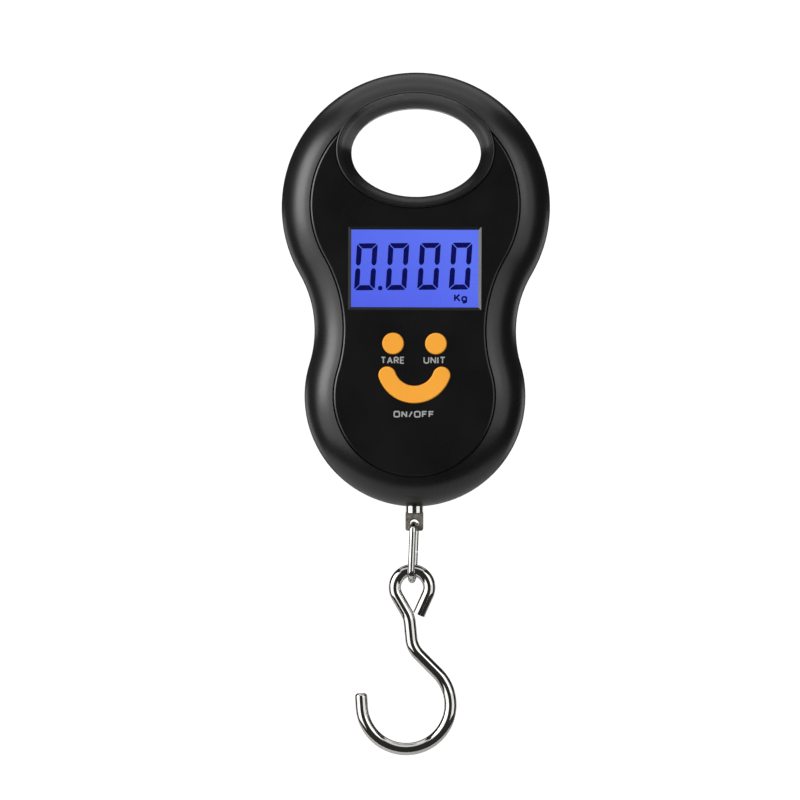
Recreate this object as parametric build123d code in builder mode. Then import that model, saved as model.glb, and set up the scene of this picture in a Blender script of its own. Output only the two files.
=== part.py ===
from build123d import *
import os
from math import atan2, cos, degrees, hypot, radians, sin, sqrt

# A hand-held digital fish scale: a two-lobed plastic case with a handle opening, a display and
# three buttons, and a swivelling steel hanger, link and hook below it. Sizes are in millimetres.
#
# Frame: +X is to the right as seen from the front, +Y points to the back and +Z is up.
# The case splits into its front and rear shells at y = 0, and the load hangs on the Z axis.
# The origin is the middle of the handle opening's top edge, where the hand carries the scale.

os.makedirs("parts", exist_ok=True)

# ---------------------------------------------------------------- driving dimensions

# case
upper_lobe_radius = 38.5
upper_lobe_z = -28.3
lower_lobe_radius = 31.7
lower_lobe_z = -82.55
waist_radius = 32.3
front_depth = 13.0
rear_depth = 14.0
front_edge_radius = 12.0
rear_edge_radius = 10.0
front_cavity_radius = 7.0
rear_cavity_radius = 8.0
wall = 2.2
front_wall = 1.9
seam_chamfer = 0.3
tongue_inset = 1.3
tongue_height = 1.2
tongue_gap = 0.1
overcut = 1.0
tolerance = 0.001

# handle opening, an ellipse that flares towards both faces
opening_half_width = 18.7
opening_half_height = 12.75
opening_z = -opening_half_height
opening_flare = ((0.0, 0.0), (0.25, 0.35), (0.55, 2.0), (0.9, 2.95), (1.0, 3.2))
opening_wall = 1.9
lip_half_width = 22.5
lip_half_height = 16.5
lip_rounding = 0.45

# face panel
panel_pocket_inset = 8.5
panel_thickness = 1.0
panel_gap = 0.45
panel_chamfer_width = 0.35
panel_chamfer_depth = 0.2
panel_front_y = -12.5
panel_back_y = panel_front_y + panel_thickness
front_inner_y = panel_back_y + front_wall

# display
display_z = -46.4
window_width = 36.1
window_height = 22.0
window_bevel = 0.8
window_bevel_depth = 0.55
lens_width = 39.0
lens_height = 25.0
lens_thickness = 0.9
lens_gap = 0.1
glass_width = 39.0
glass_height = 26.0
glass_thickness = 0.7
contact_ledge = 2.4
light_guide_width = 34.0
light_guide_height = 23.0
light_guide_thickness = 2.2
light_guide_x = -1.5
holder_wall = 1.0
led_size = 2.0
led_height = 1.6
led_lower_drop = 5.0
led_upper_rise = 7.0
zebra_thickness = 1.7

# circuit board
board_front_y = -5.0
board_thickness = 1.2
board_width = 40.0
board_top_z = -32.5
board_bottom_z = -86.5
board_corner = 2.0
board_boss_radius = 2.3
board_boss_spots = ((-16.0, -64.8), (16.0, -64.8), (-16.0, -83.4), (16.0, -83.4))
board_screw_radius = 0.75
board_screw_head_radius = 1.6
board_screw_head_height = 1.1
board_screw_length = 4.4
board_screw_rounding = 0.4
controller_spot = (-5.0, -48.0)
controller_size = (9.0, 9.0, 1.5)
amplifier_spot = (6.0, -74.0)
amplifier_size = (6.0, 4.0, 1.4)
resistor_count = 6
resistor_start = (-12.0, -58.0)
resistor_step = 2.4
resistor_size = (1.2, 2.0, 0.5)
capacitor_count = 4
capacitor_start = (11.0, -42.0)
capacitor_step = 4.0
capacitor_size = (2.6, 1.6, 1.3)
crystal_spot = (-5.0, -66.0)
crystal_round_spacing = 5.0
crystal_width = 3.2
crystal_height = 2.0

# buttons
button_proud = 0.4
button_gap = 0.15
button_flange = 0.8
button_rounding = 0.25
eye_button_radius = 3.0
eye_button_spacing = 12.15
eye_button_z = -67.7
smile_centre_z = -73.93
smile_mean_radius = 8.2
smile_band = 4.8
smile_end_angle = 19.5
press_post_radius = 1.3
switch_size = 5.0
switch_height = 1.9
switch_corner = 0.5
stem_radius = 1.0
stem_clearance = 0.08
stem_length = 1.6
stem_standout = 0.8

# batteries and their bay
cell_radius = 5.25
cell_length = 44.5
cell_nub_radius = 1.9
cell_nub_height = 0.9
cell_spacing = 11.2
bay_half_width = 11.2
bay_top_z = -40.5
bay_bottom_z = -89.0
bay_floor = 1.0
bay_wall = 1.3
bay_ledge = 1.9
bay_ledge_height = 1.4
cell_y = bay_floor + 0.15 + cell_radius
contact_thickness = 0.4
contact_width = 8.4
contact_height = 8.0
contact_tab_width = 2.0
spring_wire_radius = 0.3
spring_radius = 2.8
spring_turns = 3
spring_length = 3.0

# battery door
door_half_width = 12.9
door_top_z = -39.2
door_bottom_z = -91.4
door_thickness = 1.7
door_gap = 0.25
door_tab_width = 5.0
door_tab_x = 7.5
door_tab_reach = 1.2
door_tab_root = 0.8
door_tab_thickness = 0.9
door_tab_swing = 3.2
latch_width = 8.0
latch_height = 9.0
latch_slot = 0.7
grip_groove_count = 4
grip_groove_spacing = 1.5
grip_groove_width = 0.7
grip_groove_depth = 0.4

# case screws
upper_case_screw = (26.5, -14.0)
lower_case_screw = (23.5, -87.0)
case_boss_radius = 3.0
case_boss_depth = 9.8
case_screw_radius = 1.1
case_screw_head_radius = 2.2
case_screw_head_height = 1.5
case_screw_rounding = 0.5
case_screw_seat_y = 5.0
case_screw_length = 11.5
case_screw_well_radius = 2.6
screw_clearance = 0.05
cross_length = 2.6
cross_width = 0.6
cross_depth = 0.8

# load cell
beam_left_x = -6.0
beam_right_x = 19.5
beam_size = 8.0
beam_top_z = -95.0
flexure_hole_radius = 2.2
flexure_hole_x = (6.6, 9.0)
beam_screw_x = (13.2, 17.0)
beam_screw_radius = 1.25
beam_screw_head_radius = 1.85
beam_screw_head_height = 1.5
beam_screw_length = 12.0
beam_screw_socket = 0.9
beam_boss_y = 4.0
beam_boss_half_height = 3.0
gauge_length = 4.0
gauge_width = 3.0
gauge_thickness = 0.2
gauge_x = 7.8
coating_length = 5.4
coating_width = 6.0
coating_thickness = 0.8

# hanger: threaded rod, shank and flattened block in one piece
rod_radius = 2.0
rod_clearance = 0.05
rod_top_z = -90.6
shank_radius = 2.5
shank_top_z = -103.3
shank_hole_radius = 2.8
block_top_z = -116.0
block_bottom_z = -121.2
block_width = 5.1
block_thickness = 3.0
block_corner = 0.7
block_hole_z = -119.2
block_hole_radius = 1.25
block_countersink_radius = 1.65
nut_across_flats = 7.0
nut_height = 3.1
washer_radius = 4.0
washer_thickness = 0.8
washer_lift = 0.1

# link between the block and the hook, bent from wire and left open at a butt joint
link_wire_radius = 0.97
link_top_z = -119.45
link_half_depth = 3.5
link_top_radius = 2.0
link_yaw = 5.5
link_joint_drop = 7.95
link_joint_gap = 0.15
link_bottom_radius = 3.4

# hook, bent from one wire
hook_wire_radius = 1.77
hook_eye_radius = 4.94
hook_eye_x = -0.6
hook_eye_top_z = -132.6
hook_seat_gap = 0.05
free_end_turn = 114.0
free_end_length = 6.3
eye_turn = 120.1
neck_side_length = 5.4
neck_radius = 7.4
neck_turn = 24.2
shank_length = 4.7
hip_radius = 7.3
hip_turn = 39.2
diagonal_length = 7.7
bowl_radius = 12.75
bowl_turn = 221.0
tip_length = 4.2
tip_rounding = 1.1

# wiring
wire_radius = 0.4
wire_bend = 1.2
load_cell_lead_count = 4
load_cell_lead_spacing = 0.95
load_cell_lead_rise = 3.0
board_lead_overlap = 4.0
battery_lead_rise = 2.4
battery_lead_drop = 2.0
battery_pad_x = 4.48
solder_overlap = 0.6


# ---------------------------------------------------------------- shared shapes


def face_plane(y):
    """The plane at this depth, looking out of the front: its x is +X and its y is +Z."""
    return Plane.XZ.offset(-y)


def body_outline(inset):
    """The case's outline, moved inwards: two lobes joined by tangent hollow waist arcs."""
    upper_reach = upper_lobe_radius + waist_radius
    lower_reach = lower_lobe_radius + waist_radius
    drop = lower_lobe_z - upper_lobe_z
    reach_difference = upper_reach**2 - lower_reach**2
    waist_z = (reach_difference - upper_lobe_z**2 + lower_lobe_z**2) / (2 * drop)
    waist_x = sqrt(upper_reach**2 - (waist_z - upper_lobe_z) ** 2)
    upper_angle = degrees(atan2(upper_lobe_z - waist_z, waist_x))
    lower_angle = degrees(atan2(waist_z - lower_lobe_z, waist_x))
    waist_sweep = upper_angle + lower_angle
    waist_inset_radius = waist_radius + inset
    with BuildSketch() as outline:
        with BuildLine():
            CenterArc((0, upper_lobe_z), upper_lobe_radius - inset, -upper_angle, 180 + 2 * upper_angle)
            CenterArc((-waist_x, waist_z), waist_inset_radius, upper_angle, -waist_sweep)
            CenterArc(
                (0, lower_lobe_z), lower_lobe_radius - inset, 180 - lower_angle, 180 + 2 * lower_angle
            )
            CenterArc((waist_x, waist_z), waist_inset_radius, 180 + lower_angle, -waist_sweep)
        make_face()
    return outline.sketch


def opening_bore(face_y, growth):
    """The flaring handle opening from the parting plane out past one face, grown all round."""
    with BuildPart() as bore:
        for depth_share, flare in opening_flare:
            with BuildSketch(face_plane(face_y * depth_share)):
                with Locations((0, opening_z)):
                    Ellipse(opening_half_width + flare + growth, opening_half_height + flare + growth)
        loft()
    return bore.part


def on_lip_rim(edge):
    """Whether an edge is the outer edge of the lip's flat front."""
    points = [edge @ share for share in (0, 0.3, 0.7, 1)]
    on_ellipse = [
        abs(hypot(point.X / lip_half_width, (point.Z - opening_z) / lip_half_height) - 1) < tolerance
        for point in points
    ]
    return all(on_ellipse) and max(point.Y for point in points) < tolerance - front_depth


def wire_along(points):
    """A thin insulated wire through the points, with an even bend at each corner."""
    with BuildPart() as wire:
        with BuildLine() as route:
            FilletPolyline(*points, radius=wire_bend)
        with BuildSketch(Plane(route.line @ 0, z_dir=route.line % 0)):
            Circle(wire_radius)
        sweep(path=route.line)
    return wire.part


def save(piece, name):
    """Label a finished piece and write it to its own file."""
    piece.part.label = name
    export_step(piece.part, "parts/" + name + ".step")


case_screw_spots = []
for spot_x, spot_z in (upper_case_screw, lower_case_screw):
    case_screw_spots.append((-spot_x, spot_z))
    case_screw_spots.append((spot_x, spot_z))

eye_button_spots = ((-eye_button_spacing / 2, eye_button_z), (eye_button_spacing / 2, eye_button_z))
power_switch_spot = (0, smile_centre_z - smile_mean_radius)
switch_spots = eye_button_spots + (power_switch_spot,)


def smile_outline(growth):
    """The power button's outline: a thick arc with round ends, open at the top."""
    arc = CenterArc(
        (0, 0), smile_mean_radius, 180 + smile_end_angle, 180 - 2 * smile_end_angle, mode=Mode.PRIVATE
    )
    with BuildSketch() as outline:
        SlotArc(arc, smile_band + 2 * growth)
    return outline.sketch


smile_hole = smile_outline(button_gap)

# ---------------------------------------------------------------- front shell

with BuildPart() as front_cavity:
    with BuildSketch(face_plane(0)):
        add(body_outline(wall))
    extrude(amount=-front_inner_y)
    fillet(front_cavity.faces().sort_by(Axis.Y)[0].edges(), radius=front_cavity_radius)
    add(opening_bore(-front_depth, opening_wall), mode=Mode.SUBTRACT)

with BuildPart() as front_shell:
    with BuildSketch(face_plane(0)):
        add(body_outline(0))
    extrude(amount=front_depth)
    fillet(front_shell.faces().sort_by(Axis.Y)[0].edges(), radius=front_edge_radius)
    chamfer(front_shell.faces().sort_by(Axis.Y)[-1].edges(), length=seam_chamfer)
    add(front_cavity.part, mode=Mode.SUBTRACT)
    # tongue that locates the rear shell
    with BuildSketch(face_plane(tongue_height)):
        add(body_outline(tongue_inset))
        add(body_outline(wall), mode=Mode.SUBTRACT)
    extrude(amount=tongue_height + overcut)
    # handle opening with a flat-fronted lip, and the pocket that holds the face panel around it
    with BuildSketch(face_plane(front_inner_y)):
        with Locations((0, opening_z)):
            Ellipse(lip_half_width, lip_half_height)
    extrude(amount=front_depth + front_inner_y)
    add(opening_bore(-front_depth, 0), mode=Mode.SUBTRACT)
    with BuildSketch(face_plane(panel_back_y)):
        add(body_outline(panel_pocket_inset))
        with Locations((0, opening_z)):
            Ellipse(lip_half_width, lip_half_height, mode=Mode.SUBTRACT)
    extrude(amount=front_depth, mode=Mode.SUBTRACT)
    fillet(front_shell.edges().filter_by(on_lip_rim), radius=lip_rounding)
    # lens seat and display window
    with BuildSketch(face_plane(panel_back_y + lens_thickness + lens_gap)):
        with Locations((0, display_z)):
            Rectangle(lens_width + 2 * lens_gap, lens_height + 2 * lens_gap)
    extrude(amount=front_depth, mode=Mode.SUBTRACT)
    with BuildSketch(face_plane(front_inner_y + overcut)):
        with Locations((0, display_z)):
            Rectangle(window_width + window_bevel, window_height + window_bevel)
    extrude(amount=front_depth, mode=Mode.SUBTRACT)
    # button holes
    with BuildSketch(face_plane(front_inner_y + overcut)):
        with Locations(*eye_button_spots):
            Circle(eye_button_radius + button_gap)
        with Locations((0, smile_centre_z)):
            add(smile_hole)
    extrude(amount=front_depth, mode=Mode.SUBTRACT)
    # bosses for the board screws and the case screws, each with its pilot hole
    with BuildSketch(face_plane(board_front_y)):
        with Locations(*board_boss_spots):
            Circle(board_boss_radius)
            Circle(board_screw_radius + screw_clearance, mode=Mode.SUBTRACT)
    extrude(until=Until.NEXT)
    with BuildSketch(face_plane(0)):
        with Locations(*case_screw_spots):
            Circle(case_boss_radius)
    extrude(amount=case_boss_depth)
    with BuildSketch(face_plane(0)):
        with Locations(*case_screw_spots):
            Circle(case_screw_radius + screw_clearance)
    extrude(amount=case_screw_length - case_screw_seat_y + overcut / 2, mode=Mode.SUBTRACT)
    # half of the hole that the hanger's shank turns in
    with BuildSketch(Plane.XY.offset(lower_lobe_z - lower_lobe_radius - overcut)):
        Circle(shank_hole_radius)
    extrude(amount=wall + 2 * overcut, mode=Mode.SUBTRACT)

save(front_shell, "front_shell")

# ---------------------------------------------------------------- rear shell

rear_cavity_y = rear_depth - wall
bay_centre_z = (bay_top_z + bay_bottom_z) / 2
bay_height = bay_top_z - bay_bottom_z
door_centre_z = (door_top_z + door_bottom_z) / 2
door_height = door_top_z - door_bottom_z
door_inner_y = rear_depth - door_thickness
ledge_y = door_inner_y - door_gap
tab_pocket_top_z = bay_bottom_z + door_gap
tab_pocket_bottom_z = door_bottom_z - door_tab_reach - 2 * door_gap
tab_pocket_z = (tab_pocket_top_z + tab_pocket_bottom_z) / 2
tab_pocket_height = tab_pocket_top_z - tab_pocket_bottom_z
beam_centre_z = beam_top_z - beam_size / 2

with BuildPart() as rear_cavity:
    with BuildSketch(face_plane(0)):
        add(body_outline(wall))
    extrude(amount=-rear_cavity_y)
    fillet(rear_cavity.faces().sort_by(Axis.Y)[-1].edges(), radius=rear_cavity_radius)
    add(opening_bore(rear_depth, opening_wall), mode=Mode.SUBTRACT)
    # what stays solid: the battery bay and its door ledge
    with BuildSketch(face_plane(rear_depth)):
        with Locations((0, bay_centre_z)):
            Rectangle(2 * (bay_half_width + bay_wall), bay_height + 2 * bay_wall)
    extrude(amount=rear_depth, mode=Mode.SUBTRACT)
    with BuildSketch(face_plane(rear_depth)):
        with Locations((0, door_centre_z)):
            Rectangle(2 * (door_half_width + bay_ledge), door_height + 2 * bay_ledge)
    extrude(amount=rear_depth - ledge_y + bay_ledge_height, mode=Mode.SUBTRACT)

with BuildPart() as rear_shell:
    with BuildSketch(face_plane(0)):
        add(body_outline(0))
    extrude(amount=-rear_depth)
    fillet(rear_shell.faces().sort_by(Axis.Y)[-1].edges(), radius=rear_edge_radius)
    chamfer(rear_shell.faces().sort_by(Axis.Y)[0].edges(), length=seam_chamfer)
    add(rear_cavity.part, mode=Mode.SUBTRACT)
    # rebate that takes the front shell's tongue
    with BuildSketch(face_plane(tongue_height + tongue_gap)):
        add(body_outline(tongue_inset - tongue_gap))
        add(body_outline(wall + tongue_gap), mode=Mode.SUBTRACT)
    extrude(amount=tongue_height + tongue_gap + overcut, mode=Mode.SUBTRACT)
    add(opening_bore(rear_depth, 0), mode=Mode.SUBTRACT)
    # battery bay, and the recess in the back wall for its door
    with BuildSketch(face_plane(rear_depth + overcut)):
        with Locations((0, bay_centre_z)):
            Rectangle(2 * bay_half_width, bay_height)
    extrude(amount=rear_depth + overcut - bay_floor, mode=Mode.SUBTRACT)
    with BuildSketch(face_plane(rear_depth + overcut)):
        with Locations((0, door_centre_z)):
            Rectangle(2 * (door_half_width + door_gap), door_height + 2 * door_gap)
    extrude(amount=rear_depth + overcut - ledge_y, mode=Mode.SUBTRACT)
    # pockets that the door's two bottom tabs hook into and turn in
    with BuildSketch(face_plane(ledge_y + overcut)):
        with Locations((-door_tab_x, tab_pocket_z), (door_tab_x, tab_pocket_z)):
            Rectangle(door_tab_width + 2 * door_gap, tab_pocket_height)
    extrude(amount=overcut + door_tab_swing, mode=Mode.SUBTRACT)
    # case screw bosses, bored from the back for the screw heads
    with BuildSketch(face_plane(0)):
        with Locations(*case_screw_spots):
            Circle(case_boss_radius + case_screw_well_radius - case_screw_head_radius)
    extrude(amount=-(rear_cavity_y + overcut))
    with BuildSketch(face_plane(rear_depth)):
        with Locations(*case_screw_spots):
            Circle(case_screw_well_radius)
    extrude(amount=rear_depth - case_screw_seat_y, mode=Mode.SUBTRACT)
    with BuildSketch(face_plane(rear_depth)):
        with Locations(*case_screw_spots):
            Circle(case_screw_radius + 2 * screw_clearance)
    extrude(amount=rear_depth + overcut, mode=Mode.SUBTRACT)
    # pillar that the load cell's fixed end is screwed to
    with BuildSketch(face_plane(beam_boss_y)):
        with Locations((sum(beam_screw_x) / 2, beam_centre_z)):
            Rectangle(beam_screw_x[1] - beam_screw_x[0] + beam_size / 2, 2 * beam_boss_half_height)
    extrude(amount=-(rear_cavity_y - beam_boss_y + overcut / 2))
    with BuildSketch(face_plane(beam_boss_y)):
        with Locations(*[(x, beam_centre_z) for x in beam_screw_x]):
            Circle(beam_screw_radius + screw_clearance)
    extrude(amount=-(beam_screw_length - beam_size + overcut / 2), mode=Mode.SUBTRACT)
    # notch for the battery leads, and half of the hole that the hanger's shank turns in
    with BuildSketch(face_plane(bay_floor + contact_height / 2)):
        with Locations((-cell_spacing / 2, bay_top_z), (cell_spacing / 2, bay_top_z)):
            Rectangle(contact_height / 2, 4 * bay_wall)
    extrude(amount=contact_height / 2, mode=Mode.SUBTRACT)
    with BuildSketch(Plane.XY.offset(lower_lobe_z - lower_lobe_radius - overcut)):
        Circle(shank_hole_radius)
    extrude(amount=wall + 2 * overcut, mode=Mode.SUBTRACT)

save(rear_shell, "rear_shell")

# ---------------------------------------------------------------- face panel and display

with BuildPart() as face_panel:
    with BuildSketch(face_plane(panel_back_y)):
        add(body_outline(panel_pocket_inset + panel_gap))
        with Locations((0, opening_z)):
            Ellipse(lip_half_width + panel_gap / 2, lip_half_height + panel_gap / 2, mode=Mode.SUBTRACT)
    extrude(amount=panel_thickness)
    with BuildSketch(face_plane(panel_back_y)):
        with Locations(*eye_button_spots):
            Circle(eye_button_radius + button_gap)
        with Locations((0, smile_centre_z)):
            add(smile_hole)
    extrude(amount=panel_thickness, mode=Mode.SUBTRACT)
    # bevelled window: wide at the front, as large as the visible display behind the bevel
    with BuildSketch(face_plane(panel_front_y)):
        with Locations((0, display_z)):
            Rectangle(window_width + 2 * window_bevel, window_height + 2 * window_bevel)
    with BuildSketch(face_plane(panel_front_y + window_bevel_depth)):
        with Locations((0, display_z)):
            Rectangle(window_width, window_height)
    loft(mode=Mode.SUBTRACT)
    with BuildSketch(face_plane(panel_back_y)):
        with Locations((0, display_z)):
            Rectangle(window_width, window_height)
    extrude(amount=panel_thickness, mode=Mode.SUBTRACT)
    front_face = face_panel.faces().sort_by(Axis.Y)[0]
    rim_edges = front_face.outer_wire().edges().filter_by(GeomType.CIRCLE)
    chamfer(rim_edges, length=panel_chamfer_width, length2=panel_chamfer_depth, reference=front_face)

save(face_panel, "face_panel")

with BuildPart() as display_lens:
    with BuildSketch(face_plane(panel_back_y + lens_thickness + lens_gap / 2)):
        with Locations((0, display_z)):
            RectangleRounded(lens_width, lens_height, radius=lens_gap)
    extrude(amount=lens_thickness)

save(display_lens, "display_lens")

glass_front_y = front_inner_y + lens_gap
glass_back_y = glass_front_y + 2 * glass_thickness
rear_glass_height = glass_height - contact_ledge

with BuildPart() as lcd_glass:
    with BuildSketch(face_plane(glass_front_y + glass_thickness)):
        with Locations((0, display_z)):
            Rectangle(glass_width, glass_height)
    extrude(amount=glass_thickness)
    # the shorter rear plate leaves a ledge of contacts along the bottom
    with BuildSketch(face_plane(glass_back_y)):
        with Locations((0, display_z + contact_ledge / 2)):
            Rectangle(glass_width, rear_glass_height)
    extrude(amount=glass_thickness)

save(lcd_glass, "lcd_glass")

light_guide_front_y = glass_back_y + lens_gap

with BuildPart() as light_guide:
    with BuildSketch(face_plane(light_guide_front_y + light_guide_thickness)):
        with Locations((light_guide_x, display_z + contact_ledge / 2)):
            Rectangle(light_guide_width, light_guide_height)
    extrude(amount=light_guide_thickness)

save(light_guide, "light_guide")

led_x = light_guide_x + light_guide_width / 2 + led_size / 2 + 2 * lens_gap

with BuildPart() as backlight_leds:
    with BuildSketch(face_plane(board_front_y)):
        with Locations((led_x, display_z - led_lower_drop), (led_x, display_z + led_upper_rise)):
            Rectangle(led_size, led_height * 2)
    extrude(amount=led_height)

save(backlight_leds, "backlight_leds")

zebra_z = display_z - glass_height / 2 + contact_ledge / 2

with BuildPart() as zebra_strip:
    with BuildSketch(face_plane(board_front_y)):
        with Locations((0, zebra_z)):
            Rectangle(glass_width - 2 * holder_wall, zebra_thickness)
    extrude(amount=board_front_y - glass_front_y - glass_thickness)

save(zebra_strip, "zebra_strip")

with BuildPart() as lcd_holder:
    with BuildSketch(face_plane(board_front_y)):
        with Locations((0, display_z)):
            RectangleRounded(
                glass_width + 2 * holder_wall, glass_height + 2 * holder_wall, radius=holder_wall
            )
            Rectangle(glass_width + 2 * lens_gap, glass_height + 2 * lens_gap, mode=Mode.SUBTRACT)
    extrude(amount=board_front_y - glass_front_y)

save(lcd_holder, "lcd_holder")

# ---------------------------------------------------------------- circuit board

board_back_y = board_front_y + board_thickness

with BuildPart() as circuit_board:
    with BuildSketch(face_plane(board_back_y)):
        with Locations((0, (board_top_z + board_bottom_z) / 2)):
            RectangleRounded(board_width, board_top_z - board_bottom_z, radius=board_corner)
        with Locations(*board_boss_spots):
            Circle(board_screw_radius + 2 * screw_clearance, mode=Mode.SUBTRACT)
    extrude(amount=board_thickness)

save(circuit_board, "circuit_board")

with BuildPart() as board_screws:
    with BuildSketch(face_plane(board_back_y + board_screw_head_height)):
        with Locations(*board_boss_spots):
            Circle(board_screw_head_radius)
    extrude(amount=board_screw_head_height)
    head_tops = board_screws.faces().filter_by(Plane.XZ).group_by(Axis.Y)[-1]
    fillet(head_tops.edges(), radius=board_screw_rounding)
    with BuildSketch(face_plane(board_back_y)):
        with Locations(*board_boss_spots):
            Circle(board_screw_radius)
    extrude(amount=board_screw_length)

save(board_screws, "board_screws")


def board_parts(spots, size):
    """Equal rectangular components on the back of the board, at these places."""
    width, height, depth = size
    with BuildPart() as parts:
        with BuildSketch(face_plane(board_back_y + depth)):
            with Locations(*spots):
                Rectangle(width, height)
        extrude(amount=depth)
    return parts


resistor_x, resistor_z = resistor_start
resistor_spots = [(resistor_x + resistor_step * step, resistor_z) for step in range(resistor_count)]
capacitor_x, capacitor_z = capacitor_start
capacitor_spots = [(capacitor_x, capacitor_z - capacitor_step * step) for step in range(capacitor_count)]

board_part_set = (
    ("controller_chip", [controller_spot], controller_size),
    ("amplifier_chip", [amplifier_spot], amplifier_size),
    ("resistors", resistor_spots, resistor_size),
    ("capacitors", capacitor_spots, capacitor_size),
)
for part_name, part_spots, part_size in board_part_set:
    save(board_parts(part_spots, part_size), part_name)

with BuildPart() as crystal:
    with BuildSketch(face_plane(board_back_y + crystal_height)):
        with Locations(crystal_spot):
            SlotCenterToCenter(crystal_round_spacing, crystal_width)
    extrude(amount=crystal_height)

save(crystal, "crystal")

# ---------------------------------------------------------------- buttons and their switches

switch_front_y = board_front_y - switch_height
stem_front_y = switch_front_y - stem_standout
button_front_y = panel_front_y - button_proud
flange_front_y = front_inner_y + button_gap
flange_back_y = flange_front_y + button_flange

with BuildPart() as switch_bodies:
    with BuildSketch(face_plane(board_front_y)):
        with Locations(*switch_spots):
            RectangleRounded(switch_size, switch_size, radius=switch_corner)
    extrude(amount=switch_height)
    with BuildSketch(face_plane(switch_front_y + stem_length)):
        with Locations(*switch_spots):
            Circle(stem_radius + stem_clearance)
    extrude(amount=stem_length, mode=Mode.SUBTRACT)

save(switch_bodies, "switch_bodies")


def button(outline, spot, post_spot):
    """A moulded button: its cap, the flange behind the case wall, and the post to its switch."""
    cap = outline(0)
    flange = outline(button_flange)
    with BuildPart() as piece:
        with BuildSketch(face_plane(flange_front_y)):
            with Locations(spot):
                add(cap)
        extrude(amount=flange_front_y - button_front_y)
        fillet(piece.faces().sort_by(Axis.Y)[0].edges(), radius=button_rounding)
        with BuildSketch(face_plane(flange_back_y)):
            with Locations(spot):
                add(flange)
        extrude(amount=button_flange)
        with BuildSketch(face_plane(stem_front_y - screw_clearance)):
            with Locations(post_spot):
                Circle(press_post_radius)
        extrude(amount=stem_front_y - screw_clearance - flange_back_y)
    return piece


def eye_outline(growth):
    """The outline of one of the two round buttons."""
    with BuildSketch() as outline:
        Circle(eye_button_radius + growth)
    return outline.sketch


def switch_stem(spot):
    """The plunger that stands out of a tactile switch."""
    with BuildPart() as stem:
        with BuildSketch(face_plane(stem_front_y + stem_length)):
            with Locations(spot):
                Circle(stem_radius)
        extrude(amount=stem_length)
    return stem


tare_spot, unit_spot = eye_button_spots
smile_spot = (0, smile_centre_z)
button_set = (
    ("tare", eye_outline, tare_spot, tare_spot),
    ("unit", eye_outline, unit_spot, unit_spot),
    ("power", smile_outline, smile_spot, power_switch_spot),
)
for button_name, outline, spot, switch_spot in button_set:
    save(button(outline, spot, switch_spot), button_name + "_button")
    save(switch_stem(switch_spot), button_name + "_switch_stem")

# ---------------------------------------------------------------- batteries and contacts

spring_room = contact_thickness + spring_length
left_cell_top_z = bay_top_z - contact_thickness - lens_gap
right_cell_bottom_z = bay_bottom_z + contact_thickness + lens_gap
tab_y = cell_y - contact_height / 2


def battery_cell(x, end_z, upwards):
    """One AAA cell that stands from its positive end, which faces up or down."""
    with BuildPart() as cell:
        with BuildSketch(Plane.XY.offset(end_z)):
            with Locations((x, cell_y)):
                Circle(cell_nub_radius)
        extrude(amount=-upwards * cell_nub_height)
        with BuildSketch(Plane.XY.offset(end_z - upwards * cell_nub_height)):
            with Locations((x, cell_y)):
                Circle(cell_radius)
        extrude(amount=-upwards * (cell_length - cell_nub_height))
    return cell


left_cell = battery_cell(-cell_spacing / 2, left_cell_top_z, 1)
save(left_cell, "left_aaa_cell")
right_cell = battery_cell(cell_spacing / 2, right_cell_bottom_z, -1)
save(right_cell, "right_aaa_cell")


def contact_spring(x, base_z):
    """A coil spring that stands on this height and presses a cell's negative end."""
    coil = Helix(
        pitch=(spring_length - 3 * spring_wire_radius) / spring_turns,
        height=spring_length - 3 * spring_wire_radius,
        radius=spring_radius,
        center=(x, cell_y, base_z),
        mode=Mode.PRIVATE,
    )
    with BuildPart() as spring:
        with BuildSketch(Plane(coil @ 0, z_dir=coil % 0)):
            Circle(spring_wire_radius)
        sweep(path=coil, is_frenet=True)
    return spring.part


with BuildPart() as contact_springs:
    add(contact_spring(-cell_spacing / 2, bay_bottom_z + contact_thickness + 2 * spring_wire_radius))
    add(contact_spring(cell_spacing / 2, right_cell_bottom_z + cell_length + 2 * spring_wire_radius))

save(contact_springs, "contact_springs")

with BuildPart() as contact_plates:
    # two plates at the top, each with a solder tab out through its notch
    with BuildSketch(Plane.XY.offset(bay_top_z - contact_thickness - screw_clearance)):
        with Locations((-cell_spacing / 2, cell_y), (cell_spacing / 2, cell_y)):
            Rectangle(contact_width, contact_height)
    extrude(amount=contact_thickness)
    with BuildSketch(Plane.XY.offset(bay_top_z - contact_thickness - screw_clearance)):
        with Locations((-cell_spacing / 2, tab_y), (cell_spacing / 2, tab_y)):
            Rectangle(contact_tab_width, contact_thickness)
    extrude(amount=bay_wall + 4 * contact_thickness)
    # one plate at the bottom that joins the two cells
    with BuildSketch(Plane.XY.offset(bay_bottom_z + screw_clearance)):
        with Locations((0, cell_y)):
            Rectangle(cell_spacing + contact_width, contact_height)
    extrude(amount=contact_thickness - screw_clearance)

save(contact_plates, "contact_plates")

# ---------------------------------------------------------------- battery door

tab_root_z = door_bottom_z + door_tab_root / 2
tab_centre_z = door_bottom_z + (door_tab_root - door_tab_reach) / 2
latch_centre_z = door_top_z - latch_height / 2

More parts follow.
